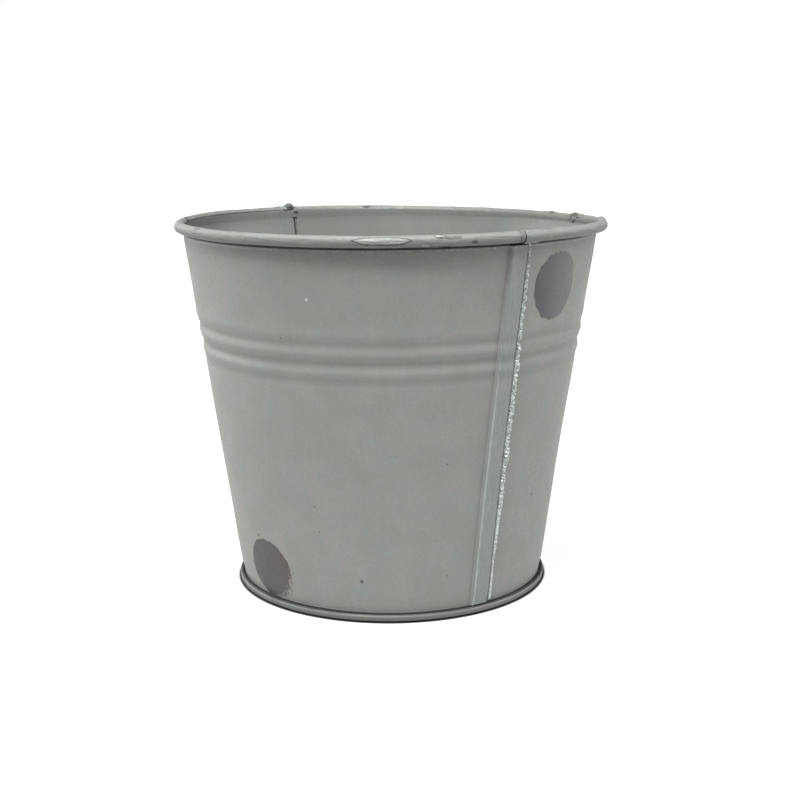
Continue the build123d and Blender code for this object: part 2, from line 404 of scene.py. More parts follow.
# %% [markdown]
# ## From a flat layout to a folded panel
# A panel is a sheet with a fold along each edge, so its mesh is made as the shop makes it: columns are
# marked across the sheet, and each fold bends its columns over. A column at a seam has a distance across
# the seam and a height above the wall. A column on the plain wall is a share of the way round. All patches
# share the columns where they meet, the doubles are merged, and one Solidify gives the sheet its thickness.
# That is how sheet metal gets clean edges and no hidden walls.

# %% Columns of a half panel
HALF = SEAM_WIDTH / 2
FOLD_R = SEAM_LAYER
HOOK_FOLD_X = HALF - SHEET / 2 - FOLD_R
INNER_FOLD_X = -HALF + SEAM_GAP + SHEET / 2 + FOLD_R
JOGGLE = 1.3  # the run over which the sheet steps up onto the seam
JOGGLE_COLUMNS = 7
WALL_COLUMNS = 300
COLLAR_TAPER = 4.5  # the run over which the wider rim comes back in


def fold(x, middle, start, turns):
    """Columns round a fold: half a circle about (x, middle), from the start angle, in degrees."""
    steps = np.radians(np.linspace(start, start + turns, 9))
    return [(x + FOLD_R * math.cos(a), middle + FOLD_R * math.sin(a)) for a in steps]


def level(xs, height):
    return [(x, height) for x in xs]


JOGGLE_XS = np.linspace(-HALF - JOGGLE, -HALF, JOGGLE_COLUMNS)
COLLAR_XS = RIM_LAP_END + 0.1 + np.linspace(0, COLLAR_TAPER, 7)
OUTER_HOOK = (
    level(np.linspace(-HALF, HOOK_FOLD_X, 9)[:-1], 3 * SEAM_LAYER)
    + fold(HOOK_FOLD_X, 2 * SEAM_LAYER, 90, -180)
    + level(np.linspace(HOOK_FOLD_X, -HALF + 3 * SEAM_GAP + SHEET + 0.3, 7)[1:], SEAM_LAYER)
)
INNER_LEG_END = HALF - SHEET - 2 * SEAM_GAP
INNER_HOOK = fold(INNER_FOLD_X, SEAM_LAYER, -90, -180)
INNER_HOOK += level(np.linspace(INNER_FOLD_X, INNER_LEG_END, 7)[1:], 2 * SEAM_LAYER)
UNDER_SEAM = level(np.linspace(INNER_FOLD_X, COLLAR_XS[0], 12), 0)
RIM_TAIL = level(np.linspace(-HALF, RIM_LAP_END, 14), 0)
COLLAR = level(np.linspace(RIM_LAP_START, COLLAR_XS[0], 12), 0)
print(len(OUTER_HOOK), "and", len(INNER_HOOK), "columns in the two hooks of a seam")

# %% Put a row on the bucket


def at_azimuth(azimuth, row, offset):
    """Points of a wall row at an azimuth, moved right of the section's path, with what years did added."""
    r, z, right_r, right_z = row
    azimuth = azimuth + twist(z)
    below = WALL_LENGTH + CURL_OUTER_R - height_along(z)
    on_wall = smooth((z - KNEE_Z) / 3)
    extra = wall_offset(azimuth, np.full_like(azimuth, below)) * on_wall if right_r > 0.9 else 0
    angle = math.atan2(z - RIM_Z, r - RIM_R)
    roundness = 0
    if z > RIM_Z - CURL_OUTER_R - 1:
        on_curl = smooth(1 - (math.hypot(z - RIM_Z, r - RIM_R) - CURL_R) / 3)
        roundness = -rim_offset(azimuth, angle) * on_curl * smooth((1.05 - right_r) * 2)
    moved = offset + extra + roundness
    up, out = settle(azimuth, z)
    radius = r + moved * right_r + out
    return np.stack([radius * np.sin(azimuth), -radius * np.cos(azimuth), z + moved * right_z + up], -1)


def seam_azimuth(seam, x, row, offset):
    """The azimuth of a point at a distance across a seam, on a row moved out by an offset."""
    return math.radians(seam) + np.arcsin(x / (row[0] + offset * row[2]))


# %% Patches of a half panel
COLLAR_START = 100.0  # degrees round the wire from straight outwards
COLLAR_ROW = FIRST_CURL_ROW + round((180 - LEAN - COLLAR_START) / CURL_TURN * CURL_ROWS)
SEAM_ROWS = range(FIRST_SEAM_ROW, LAST_SEAM_ROW + 1)


def patch(rows, columns, seam, lift=None):
    """Points of a patch beside a seam, one row of the section after another."""
    xs, heights = np.array(columns).T
    points = []
    for i in rows:
        lifted = heights if lift is None else lift(i)
        points.append(at_azimuth(seam_azimuth(seam, xs, PANEL_ROWS[i], heights), PANEL_ROWS[i], lifted))
    return points


def main_patch(front, back):
    """The panel from the back seam round to the front one, with the joggle at its front edge."""
    points = []
    share = np.linspace(0, 1, WALL_COLUMNS)[1:-1]
    for i, row in enumerate(PANEL_ROWS):
        folded = FIRST_SEAM_ROW <= i <= LAST_SEAM_ROW
        at_back = seam_azimuth(back, COLLAR_XS, row, 0) - math.radians(360)
        at_front = seam_azimuth(front, JOGGLE_XS, row, 0)
        between = at_back[-1] + (at_front[0] - at_back[-1]) * share
        azimuth = np.concatenate([at_back, between, at_front])
        offset = np.zeros_like(azimuth)
        offset[-JOGGLE_COLUMNS:] = smooth(np.linspace(0, 1, JOGGLE_COLUMNS)) * 3 * SEAM_LAYER * folded
        if i > COLLAR_ROW:
            eased = smooth((i - COLLAR_ROW) / 3)
            step_in = 1 - smooth(np.linspace(0, 1, len(COLLAR_XS)))
            offset[: len(COLLAR_XS)] = -COLLAR_STEP * step_in * eased
        points.append(at_azimuth(azimuth, row, offset))
    return points


def half_panel_patches(front, back):
    """All patches of a half panel that leaves the front seam towards lower azimuths."""
    collar_rows = range(COLLAR_ROW + 1, len(PANEL_ROWS))

    def collar_lift(i):
        return np.full(len(COLLAR), -COLLAR_STEP * smooth((i - COLLAR_ROW) / 3))

    return [
        main_patch(front, back),
        patch(range(NECK_ROW + 1), UNDER_SEAM, back),
        patch(SEAM_ROWS, INNER_HOOK, back),
        patch(SEAM_ROWS, OUTER_HOOK, front),
        patch(range(NECK_ROW, len(PANEL_ROWS)), RIM_TAIL, front),
        patch(collar_rows, COLLAR, back, collar_lift),
    ]


print(WALL_COLUMNS, "columns on the plain wall; the rim's collar starts at row", COLLAR_ROW)

# %% [markdown]
# ## From patches to sheet metal
# The patches are joined into one surface at the middle of the sheet. Solidify then thickens it both ways,
# and gives each face of the sheet its own material slot, since the outside and the inside of the bucket
# weathered differently. The modifier is applied, so that what follows is a plain mesh with soft bends and
# crisp cut edges.

# %% Turn patches into a sheet with thickness
WELD = 0.02  # points this close are one point
CRISP_ANGLE = math.radians(40)


def new_piece(name, mesh):
    """An object for a mesh, placed in the scene."""
    piece = bpy.data.objects.new(name, mesh)
    bpy.context.scene.collection.objects.link(piece)
    return piece


def mesh_piece(name, patches, thickness=SHEET):
    """One closed sheet from patches of points in millimetres: merge what meets, then thicken both ways."""
    bm = bmesh.new()
    for points in patches:
        grid = [[bm.verts.new(Vector(p) * MM) for p in row] for row in points]
        for low, high in zip(grid, grid[1:]):
            for corners in zip(low, low[1:], high[1:], high):
                bm.faces.new(corners)
    bmesh.ops.remove_doubles(bm, verts=bm.verts, dist=WELD * MM)
    mesh = bpy.data.meshes.new(name)
    bm.to_mesh(mesh)
    bm.free()
    mesh.materials.append(None)  # a place for the finish of each face of the sheet
    mesh.materials.append(None)
    piece = new_piece(name, mesh)
    solid = piece.modifiers.new("Sheet thickness", "SOLIDIFY")
    solid.thickness = thickness * MM
    solid.offset = 0
    solid.use_even_offset = True
    solid.use_quality_normals = True
    solid.material_offset = 1
    return apply_modifiers(piece)


def apply_modifiers(piece):
    """Makes a piece's modifiers part of its mesh, and shades it smooth with crisp sheet edges."""
    depsgraph = bpy.context.evaluated_depsgraph_get()
    mesh = bpy.data.meshes.new_from_object(piece.evaluated_get(depsgraph))
    piece.modifiers.clear()
    piece.data = mesh
    mesh.shade_smooth()
    mesh.set_sharp_from_angle(angle=CRISP_ANGLE)
    return piece


def report(piece):
    """Prints a piece's size, and whether its mesh is closed."""
    bm = bmesh.new()
    bm.from_mesh(piece.data)
    open_edges = sum(1 for e in bm.edges if len(e.link_faces) != 2)
    bm.free()
    size = [round(v / MM, 1) for v in piece.dimensions]
    print(f"{piece.name}: {len(piece.data.polygons)} faces, {size} mm, {open_edges} edges that aren't closed")


# %% The two half panels
panels = {}
for name, front in (("wall_panel_front", SEAM_AZIMUTH), ("wall_panel_back", SEAM_AZIMUTH + 180)):
    panel = mesh_piece(name + "_sheet", half_panel_patches(front, front + 180))
    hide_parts(name)
    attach(panel, "root")
    panels[name] = panel
    report(panel)

# %% [markdown]
# ## The pressed base
# The base is a shallow dish. Its edge stands on the floor, goes up outside the wall and is hooked under it,
# so the seam carries the weight and keeps the water in. The seaming rollers leave the edge a little uneven,
# and a plate this thin is never quite flat. The path repeats the CAD section with rounder sampling.

# %% The base plate's section
FOOT_CORNER_R = 0.9
BASE_RECESS = 3.2
BASE_CORNER_R = 1.0
STEP_R, STEP_RUN, STEP_RISE = 56.0, 4.0, 1.2
step_angle = 2 * math.atan(STEP_RISE / STEP_RUN)
step_bend = STEP_RUN / (2 * math.sin(step_angle))
HOOK_DROP = 0.45  # the rollers press the hook down this much
corner_to_step = FOOT_WALL_R - FOOT_LAYER - BASE_CORNER_R - STEP_R
BASE_ROWS = walk(
    (FOOT_WALL_R + FOOT_LAYER, FOLD_BOTTOM),
    90,
    [
        ("straight", [FOLD_TOP - HOOK_DROP - FOLD_BOTTOM]),
        ("bend", FOOT_LAYER, -180, 14),
        ("straight", [0.9, FOLD_TOP - HOOK_DROP - SHEET / 2 - FOOT_CORNER_R]),
        ("bend", FOOT_CORNER_R, -90, 7),
        ("straight", [4 * FOOT_LAYER - 2 * FOOT_CORNER_R]),
        ("bend", FOOT_CORNER_R, -90, 6),
        ("straight", [BASE_RECESS - BASE_CORNER_R - FOOT_CORNER_R]),
        ("bend", BASE_CORNER_R, 90, 6),
        ("straight", [corner_to_step / 2, corner_to_step]),
        ("bend", step_bend, -math.degrees(step_angle), 5),
        ("bend", step_bend, math.degrees(step_angle), 5),
        ("straight", list(np.linspace(0, STEP_R - STEP_RUN, 8)[1:])),
    ],
)
BASE_COLUMNS = 480
print(len(BASE_ROWS), "rows from the hook to the middle of the floor")

# %% Press the base


def base_points():
    """The base plate's rows, with the seam's unevenness and the plate's slow buckles."""
    azimuth = np.linspace(0, 2 * math.pi, BASE_COLUMNS + 1)
    rows = []
    for r, z, _, _ in BASE_ROWS:
        rolled = smooth((r - FOOT_WALL_R - 1.4) / 0.7) * smooth(z / 1.0)
        uneven = 0.07 * round_waves(azimuth, (9, 15, 22, 31), 8)
        uneven = uneven + 0.03 * round_waves(azimuth, (57, 83), 9)
        tab = 0.12 * np.exp(-((turn_between(azimuth, SEAM_AZIMUTH - 0.5) / 1.6) ** 2))
        buckle = 0.18 * round_waves(azimuth + r / 40, (2, 3), 10) * smooth((62 - r) / 30) * smooth(r / 25)
        radius = np.full_like(azimuth, r) + rolled * (0.7 * uneven - 0.2 - tab)
        height = z + buckle + 0.05 * rolled * round_waves(azimuth, (13, 19, 27), 11)
        rows.append(np.stack([radius * np.sin(azimuth), -radius * np.cos(azimuth), height], -1))
    return rows


base = mesh_piece("base_plate_pressing", [base_points()])
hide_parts("base_plate")
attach(base, "root")
report(base)

# %% [markdown]
# ## Solder along the seams
# The seam was closed by running solder into the notch beside its fold. Solder laid by hand comes out as a
# string of small grains, fat where the iron paused and thin where it hurried. The bead is a half round
# swept up the wall, whose height and width follow two strings of random numbers, one for the pauses and one
# for the grains. The numbers are seeded, so the bead is the same every time.

# %% Solder beads
SOLDER_STEP = 0.25  # between its rows
SOLDER_AROUND = 12
SOLDER_FOOT = SHEET / 2 + 0.03  # its underside, above the middle of the wall's sheet
SOLDER_HEIGHT = 1.3
SOLDER_NICK_Z = 124.5  # the iron skipped a place here
SOLDER_WIDTHS = [  # height up the wall, and how wide the bead is there
    (0, 1.9),
    (28, 2.0),
    (42, 2.5),
    (60, 3.1),
    (80, 3.4),
    (105, 3.3),
    (130, 2.6),
    (150, 2.1),
    (170, 2.0),
]


def random_string(length, spacing, seed):
    """A smooth random string, about -1 to 1, with a value every so many millimetres."""
    knots = np.random.default_rng(seed).uniform(-1, 1, int(length / spacing) + 4)
    place = np.arange(0, length, SOLDER_STEP) / spacing
    first = place.astype(int)
    return knots[first] + (knots[first + 1] - knots[first]) * smooth(place - first)


def wall_row(z):
    """A row of the plain wall at any height."""
    along = height_along(z)
    lean = math.radians(LEAN)
    r = FOOT_WALL_R + KNEE_R * (1 - math.cos(lean)) + along * math.sin(lean)
    return r, z, math.cos(lean), -math.sin(lean)


print("the solder is up to", max(width for _, width in SOLDER_WIDTHS), "mm wide")

# %% The shape of a solder bead


def solder_points(seam, seed):
    """Rings of points up a solder bead, one for every quarter of a millimetre."""
    tall = SEAM_TOP - SEAM_BOTTOM
    heights = np.arange(SEAM_BOTTOM, SEAM_TOP, SOLDER_STEP)
    pauses, grains, slips = (random_string(tall, gap, seed + i) for i, gap in enumerate((7.0, 0.9, 3.0)))
    grain_sets = [random_string(tall, 0.55, seed + 10 + i) for i in range(SOLDER_AROUND + 1)]
    loud = 0.35 + 0.65 * smooth((heights - 35) / 30) * smooth((SEAM_TOP + 6 - heights) / 14)
    gap = 1 - 0.8 * np.exp(-(((heights - SOLDER_NICK_Z) / 0.9) ** 2))
    ends = smooth((heights - SEAM_BOTTOM) / 2) * smooth((SEAM_TOP - heights) / 2) * 0.9 + 0.1
    widths = np.interp(heights, *np.array(SOLDER_WIDTHS).T)
    rings = []
    for i, z in enumerate(heights):
        width = widths[i] * (1 + 0.10 * pauses[i] + 0.12 * loud[i] * grains[i]) * (0.6 + 0.4 * gap[i])
        height = SOLDER_HEIGHT * (1 + 0.12 * pauses[i] + 0.20 * loud[i] * grains[i])
        height = height * (0.45 + 0.55 * gap[i]) * ends[i]
        turns = np.linspace(math.pi, 0, SOLDER_AROUND + 1)
        lumps = np.array([1 + 0.45 * loud[i] * g[i] for g in grain_sets])
        middle = HALF + 0.1 + width / 2 + 0.10 * slips[i]
        across = middle - 0.3 + np.cos(turns) * width / 2
        above = SOLDER_FOOT + np.maximum(np.sin(turns), 0) * height * lumps
        row = wall_row(z)
        rings.append(at_azimuth(seam_azimuth(seam, across, row, above), row, above))
    return rings


# %% Make the beads


def closed_strip(name, rings):
    """A closed mesh from rings of points in millimetres, each joined end to end, with both ends capped."""
    bm = bmesh.new()
    grid = [[bm.verts.new(Vector(p) * MM) for p in ring] for ring in rings]
    for low, high in zip(grid, grid[1:]):
        for k in range(len(low)):
            after = (k + 1) % len(low)
            bm.faces.new((low[k], low[after], high[after], high[k]))
    bm.faces.new(grid[0][::-1])
    bm.faces.new(grid[-1])
    bmesh.ops.recalc_face_normals(bm, faces=bm.faces)
    mesh = bpy.data.meshes.new(name)
    bm.to_mesh(mesh)
    bm.free()
    mesh.shade_smooth()
    mesh.set_sharp_from_angle(angle=math.radians(55))
    return new_piece(name, mesh)


solders = []
SEAMS = (("front_seam_solder", SEAM_AZIMUTH, 100), ("back_seam_solder", SEAM_AZIMUTH + 180, 200))
for name, seam, seed in SEAMS:
    bead = closed_strip(name + "_bead", solder_points(seam, seed))
    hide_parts(name)
    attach(bead, "root")
    solders.append(bead)
    report(bead)

# %% [markdown]
# ## The wire in the rim
# A wire gives a rolled rim its strength. It is cut a little short of the full round, and it goes wherever
# the rim goes, so it gets the same settling. It is one ring of points after another, with a cap at each
# end.

# %% Rim wire
WIRE_GAP, WIRE_GAP_AZIMUTH = 1.5, 125.0
WIRE_STATIONS, WIRE_AROUND = 540, 20
half_gap = math.degrees(WIRE_GAP / 2 / RIM_R)
wire_start = WIRE_GAP_AZIMUTH + half_gap
stations = np.radians(np.linspace(wire_start, WIRE_GAP_AZIMUTH + 360 - half_gap, WIRE_STATIONS))
ups, outs = settle(stations, RIM_Z)
wire_turns = np.linspace(0, 2 * math.pi, WIRE_AROUND, endpoint=False)
wire_rings = []
for azimuth, up, out in zip(stations, ups, outs):
    radius = RIM_R + out + WIRE_D / 2 * np.cos(wire_turns)
    heights = RIM_Z + up + WIRE_D / 2 * np.sin(wire_turns)
    wire_rings.append(np.stack([radius * math.sin(azimuth), -radius * math.cos(azimuth), heights], -1))
wire = closed_strip("rim_wire_drawn", wire_rings)
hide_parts("rim_wire")
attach(wire, "root")
report(wire)

# %% [markdown]
# ## Set drips of zinc
# A dipped bucket drains over its rim, and the last of the zinc sets there as lumps. Each drip is a small
# ball of mesh, flattened against the rolled rim and roughened with noise, with its lower half sunk into it.
# One object holds them all, as one finish does.

# %% Drips on the rim
DRIPS = [  # azimuth, angle round the wire, half length, half breadth, height
    (-146.4, 90, 2.7, 2.3, 2.0),
    (-145.6, 98, 4.8, 2.6, 0.80),
    (-148.2, 150, 1.6, 2.6, 0.65),
    (123.0, 100, 2.6, 1.7, 0.75),
    (125.6, 112, 1.9, 1.3, 0.50),
    (110.4, 120, 3.3, 2.6, 1.25),
    (107.2, 112, 3.2, 1.9, 0.95),
    (109.4, 182, 2.2, 2.7, 0.95),
    (90.0, 50, 3.2, 2.6, 0.95),
    (-172.2, 118, 1.6, 1.0, 0.42),
    (-92.5, 130, 1.8, 1.5, 0.50),
    (-57.0, 58, 2.0, 1.1, 0.38),
    (33.6, 62, 0.9, 2.8, 0.50),
    (33.2, -5, 1.0, 2.6, 0.55),
    (34.6, 100, 1.6, 1.8, 0.50),
    (12.0, 48, 1.6, 1.0, 0.35),
    (-8.6, 14, 1.2, 1.8, 0.22),
    (5.6, 0, 1.0, 1.8, 0.24),
    (9.4, -62, 1.7, 1.2, 0.35),
]
DRIP_RINGS, DRIP_SPOKES = 14, 22
DRIP_SUNK = 0.12  # how deep a drip's middle sits in the rim
print(len(DRIPS), "drips, the highest", max(drip[-1] for drip in DRIPS), "mm")

# %% The shape of a drip


def drip_points(azimuth, angle, length, breadth, height, seed):
    """Rings of points over one drip, from its top to its underside, in millimetres."""
    a, t = math.radians(azimuth), math.radians(angle)
    up, out = settle(np.array([a]), RIM_Z + CURL_OUTER_R)
    outwards = Vector((math.sin(a), -math.cos(a), 0))
    along = Vector((math.cos(a), math.sin(a), 0))
    away = outwards * math.cos(t) + Vector((0, 0, 1)) * math.sin(t)
    around = -outwards * math.sin(t) + Vector((0, 0, 1)) * math.cos(t)
    lumps = np.random.default_rng(seed).uniform(0, 2 * math.pi, 4)
    rings = []
    for tilt in np.linspace(0, math.pi, DRIP_RINGS):
        spokes = np.linspace(0, 2 * math.pi, DRIP_SPOKES, endpoint=False)
        rough = 1 + 0.10 * np.sin(2 * spokes + lumps[0] + 2 * tilt)
        rough = rough + 0.07 * np.sin(5 * spokes + lumps[1] - 3 * tilt)
        rough = rough + 0.05 * np.sin(7 * spokes + lumps[2] + 5 * tilt) * math.sin(tilt)
        flat = math.sin(tilt) ** 1.3
        ring = []
        for spoke, wobble in zip(spokes, rough):
            on_along = length * flat * math.cos(spoke) * wobble
            on_around = breadth * flat * math.sin(spoke) * wobble
            lift = height * math.cos(tilt) if tilt < math.pi / 2 else 0.4 * math.cos(tilt)
            bent = on_around / CURL_OUTER_R
            radius = CURL_OUTER_R - DRIP_SUNK + lift
            spot = away * (radius * math.cos(bent)) + around * (radius * math.sin(bent)) + along * on_along
            centre = outwards * (RIM_R + out[0] - on_along**2 / (2 * RIM_R))
            ring.append(centre + Vector((0, 0, RIM_Z + up[0])) + spot)
        rings.append(ring)
    return rings


# %% Make the drips
bm = bmesh.new()
for seed, drip in enumerate(DRIPS):
    rings = drip_points(*drip, seed)
    top = bm.verts.new(rings[0][0] * MM)
    bottom = bm.verts.new(rings[-1][0] * MM)
    grid = [[bm.verts.new(p * MM) for p in ring] for ring in rings[1:-1]]
    for k in range(DRIP_SPOKES):
        after = (k + 1) % DRIP_SPOKES
        bm.faces.new((top, grid[0][k], grid[0][after]))
        bm.faces.new((bottom, grid[-1][after], grid[-1][k]))
        for low, high in zip(grid, grid[1:]):
            bm.faces.new((low[k], high[k], high[after], low[after]))
bmesh.ops.recalc_face_normals(bm, faces=bm.faces)
drip_mesh = bpy.data.meshes.new("zinc_drips")
bm.to_mesh(drip_mesh)
bm.free()
drip_mesh.shade_smooth()
drips = new_piece("zinc_drips", drip_mesh)
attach(drips, "root")
report(drips)

# %% [markdown]
# ## A helper for materials
# A procedural material is a small graph of nodes. This one function adds a node, sets it, and links what it
# is given, so a graph reads from top to bottom like a recipe. Colours are written as the hex values an
# artist picks on screen, and one function turns them into the linear light that Blender computes with.

# %% Nodes and colours
SHARE, UNDER, OVER = 0, 6, 7  # the sockets of a Mix node that mixes colours


def linear(hex_colour):
    """An sRGB hex colour as the linear RGBA that Blender's sockets take."""
    shares = [int(hex_colour[i : i + 2], 16) / 255 for i in (1, 3, 5)]
    light = [c / 12.92 if c <= 0.04045 else ((c + 0.055) / 1.055) ** 2.4 for c in shares]
    return (*light, 1.0)


def add(tree, kind, inputs=None, **settings):
    """Adds a node. An input may be a value, a hex colour, a socket, or a node, standing for its output."""
    node = tree.nodes.new("ShaderNode" + kind)
    for name, value in settings.items():
        setattr(node, name, value)
    for name, value in (inputs or {}).items():
        if isinstance(value, bpy.types.Node):
            value = next(socket for socket in value.outputs if socket.enabled)
        if isinstance(value, bpy.types.NodeSocket):
            tree.links.new(value, node.inputs[name])
        else:
            node.inputs[name].default_value = linear(value) if isinstance(value, str) else value
    return node


def new_material(name):
    """An empty material, and its tree and output node."""
    material = bpy.data.materials.new(name)
    material.use_nodes = True
    tree = material.node_tree
    tree.nodes.clear()
    return material, tree, add(tree, "OutputMaterial")


print("mid grey in linear light:", [round(light, 3) for light in linear("#808080")])

# %% [markdown]
# ## Where on the bucket
# The marks on this bucket sit at known places, so a finish has to know where each point is. Object
# coordinates give that, in the bucket's own frame, wherever the camera stands. From them come a few
# readings: the azimuth in degrees, the height in millimetres, the height as it was before the rim settled,
# the distance across the nearer side seam, and, for the rim, the angle round its wire. The side seams lean
# a little, so the wall is first turned back upright.

# %% Readings


def readings(tree):
    """What a finish can ask of a point. Lengths are in millimetres and angles in degrees."""
    place = add(tree, "TexCoord").outputs["Object"]
    place = add(tree, "VectorMath", {0: place, "Scale": 1 / MM}, operation="SCALE")
    apart = add(tree, "SeparateXYZ", {0: place})
    height = apart.outputs["Z"]
    front = add(tree, "Math", {0: apart.outputs["Y"], 1: -1.0}, operation="MULTIPLY")
    turn = add(tree, "Math", {0: apart.outputs["X"], 1: front}, operation="ARCTAN2")
    azimuth = add(tree, "Math", {0: turn}, operation="DEGREES")
    unrolled = add(tree, "CombineXYZ", {"X": azimuth, "Y": height})
    flat = add(tree, "VectorMath", {0: place, 1: (1, 1, 0)}, operation="MULTIPLY")
    radius = add(tree, "VectorMath", {0: flat}, operation="LENGTH")
    return SimpleNamespace(
        place=place,
        azimuth=azimuth,
        height=height,
        unrolled=unrolled,
        radius=radius,
        level=height_before_settling(tree, turn, height),
        seam=across_seams(tree, place, height),
        around_wire=angle_round_wire(tree, radius, height),
    )


def height_before_settling(tree, turn, height):
    """The height less what settle() moved it near the rim, without its small waves."""
    twice = add(tree, "Math", {0: turn, 1: 2.0}, operation="MULTIPLY")
    saddle = add(tree, "Math", {0: twice}, operation="SINE")
    from_dip = add(tree, "Math", {0: turn, 1: RIM_DIP_AZIMUTH}, operation="SUBTRACT")
    facing = add(tree, "Math", {0: from_dip}, operation="COSINE")
    facing = add(tree, "Math", {0: facing, 1: 0.0}, operation="MAXIMUM")
    squared = add(tree, "Math", {0: facing, 1: facing}, operation="MULTIPLY")
    lifted = add(tree, "Math", {0: squared, 1: RIM_DIP, 2: height}, operation="MULTIPLY_ADD")
    return add(tree, "Math", {0: saddle, 1: -RIM_SADDLE, 2: lifted}, operation="MULTIPLY_ADD")


def across_seams(tree, place, height):
    """The distance across the nearer side seam from its middle, towards higher azimuths at the front one."""
    seam = math.radians(SEAM_AZIMUTH)
    lean = {"Value": height, "From Max": RIM_Z, "To Min": -TWIST_AT_FOOT, "To Max": -TWIST_AT_RIM}
    turned = add(tree, "MapRange", lean)
    upright = add(tree, "VectorRotate", {"Vector": place, "Angle": turned}, rotation_type="Z_AXIS")
    sideways = (math.cos(seam), math.sin(seam), 0)
    return add(tree, "VectorMath", {0: upright, 1: sideways}, operation="DOT_PRODUCT")


def angle_round_wire(tree, radius, height):
    """The angle round the rim's wire: 0 straight outwards and 90 on top."""
    out = add(tree, "Math", {0: radius, 1: RIM_R}, operation="SUBTRACT")
    up = add(tree, "Math", {0: height, 1: RIM_Z}, operation="SUBTRACT")
    around = add(tree, "Math", {0: up, 1: out}, operation="ARCTAN2")
    return add(tree, "Math", {0: around}, operation="DEGREES")


# %% [markdown]
# ## Stains and bands
# Nearly every mark below is the same three moves: take a reading, say between which two levels the mark
# comes or goes, and lay its colour over what is there. A narrow line is the same thing on the distance from
# its middle.

# %% Stains and bands


def cover(tree, reading, levels, shares=(0.0, 1.0), within=1.0):
    """A mark's cover as a reading goes between two levels: from one share to the other, within a mask."""
    limits = {"From Min": levels[0], "From Max": levels[1], "To Min": shares[0], "To Max": shares[1]}
    share = add(tree, "MapRange", {"Value": reading, **limits}, interpolation_type="SMOOTHSTEP")
    return add(tree, "Math", {0: share, 1: within}, operation="MULTIPLY")


def stain(tree, under, reading, levels, shares, over, within=1.0):
    """Lays one colour over another where a reading goes between two levels."""
    share = cover(tree, reading, levels, shares, within)
    return add(tree, "Mix", {SHARE: share, UNDER: under, OVER: over}, data_type="RGBA")


def distance_from(tree, reading, middle):
    """How far a reading is from a middle, either way."""
    away = add(tree, "Math", {0: reading, 1: middle}, operation="SUBTRACT")
    return add(tree, "Math", {0: away}, operation="ABSOLUTE")


def distance_from_spot(tree, unrolled, azimuth, height, half_degrees, half_height):
    """0 in the middle of an oval on the unrolled wall, and 1 at its edge."""
    away = add(tree, "VectorMath", {0: unrolled, 1: (azimuth, height, 0)}, operation="SUBTRACT")
    size = (1 / half_degrees, 1 / half_height, 0)
    scaled = add(tree, "VectorMath", {0: away, 1: size}, operation="MULTIPLY")
    return add(tree, "VectorMath", {0: scaled}, operation="LENGTH")


# %% [markdown]
# ## Weathered zinc
# Hot-dip galvanising coats steel with zinc. New zinc is bright, but air turns its skin to zinc carbonate, a
# matte pale grey that hides the metal's shine, so the surface is part metal and part chalk: Metallic sits
# between the two. To the eye it is an even grey with a slow mottle, warmer here and greener there, faint
# upright rubs, and a fine tooth. Each of the four is one noise, whose scale comes from its real size in
# millimetres.

# %% The zinc's skin
ZINC = "#777974"
ZINC_GREEN = "#747c7a"
ZINC_WARM = "#7c7b78"
ZINC_DARK = "#5d5e5a"
ZINC_PALE = "#949793"
ZINC_BARE = "#9ca09c"
# near black, for soot marks and for the painted shade beside the seam's solder
SOOT_AND_SHADE = "#262624"
CHALKY_METAL = 0.45  # between metal and chalk
MATTE = (0.50, 0.64)  # its roughness, from the rubbed to the chalky places
ZINC_PATTERNS = [  # size in mm, squeeze upright, noise roughness, levels it shows between, most cover, colour
    (16.0, 1.0, 0.5, (0.38, 0.62), 1.0, ZINC_WARM),
    (9.0, 1.0, 0.5, (0.45, 0.75), 0.7, ZINC_GREEN),
    (2.2, 0.12, 0.6, (0.5, 0.9), 0.16, ZINC_PALE),
    (0.6, 1.0, 0.7, (0.45, 0.8), 0.28, ZINC_DARK),
]


def zinc_skin(tree, place):
    """The colour of old zinc: slow mottle, a hint of green and of warmth, upright rubs and fine tooth."""
    colour = ZINC
    for size, squeeze, roughness, levels, most, over in ZINC_PATTERNS:
        drawn_out = add(tree, "VectorMath", {0: place, 1: (1, 1, squeeze)}, operation="MULTIPLY")
        lumps = {"Vector": drawn_out, "Scale": 1 / size, "Detail": 3.0, "Roughness": roughness}
        colour = stain(tree, colour, add(tree, "TexNoise", lumps), levels, (0.0, most), over)
    return colour


def zinc_shader(tree, output, colour, rough, relief):
    """The zinc's shader, with its relief as a shallow bump."""
    bump = add(tree, "Bump", {"Height": relief, "Strength": 0.25, "Distance": 0.12 * MM})
    skin = {"Base Color": colour, "Roughness": rough, "Metallic": CHALKY_METAL, "Normal": bump}
    tree.links.new(add(tree, "BsdfPrincipled", skin).outputs[0], output.inputs["Surface"])


print(len(ZINC_PATTERNS), "patterns, from", ZINC_PATTERNS[0][0], "down to", ZINC_PATTERNS[-1][0], "mm")
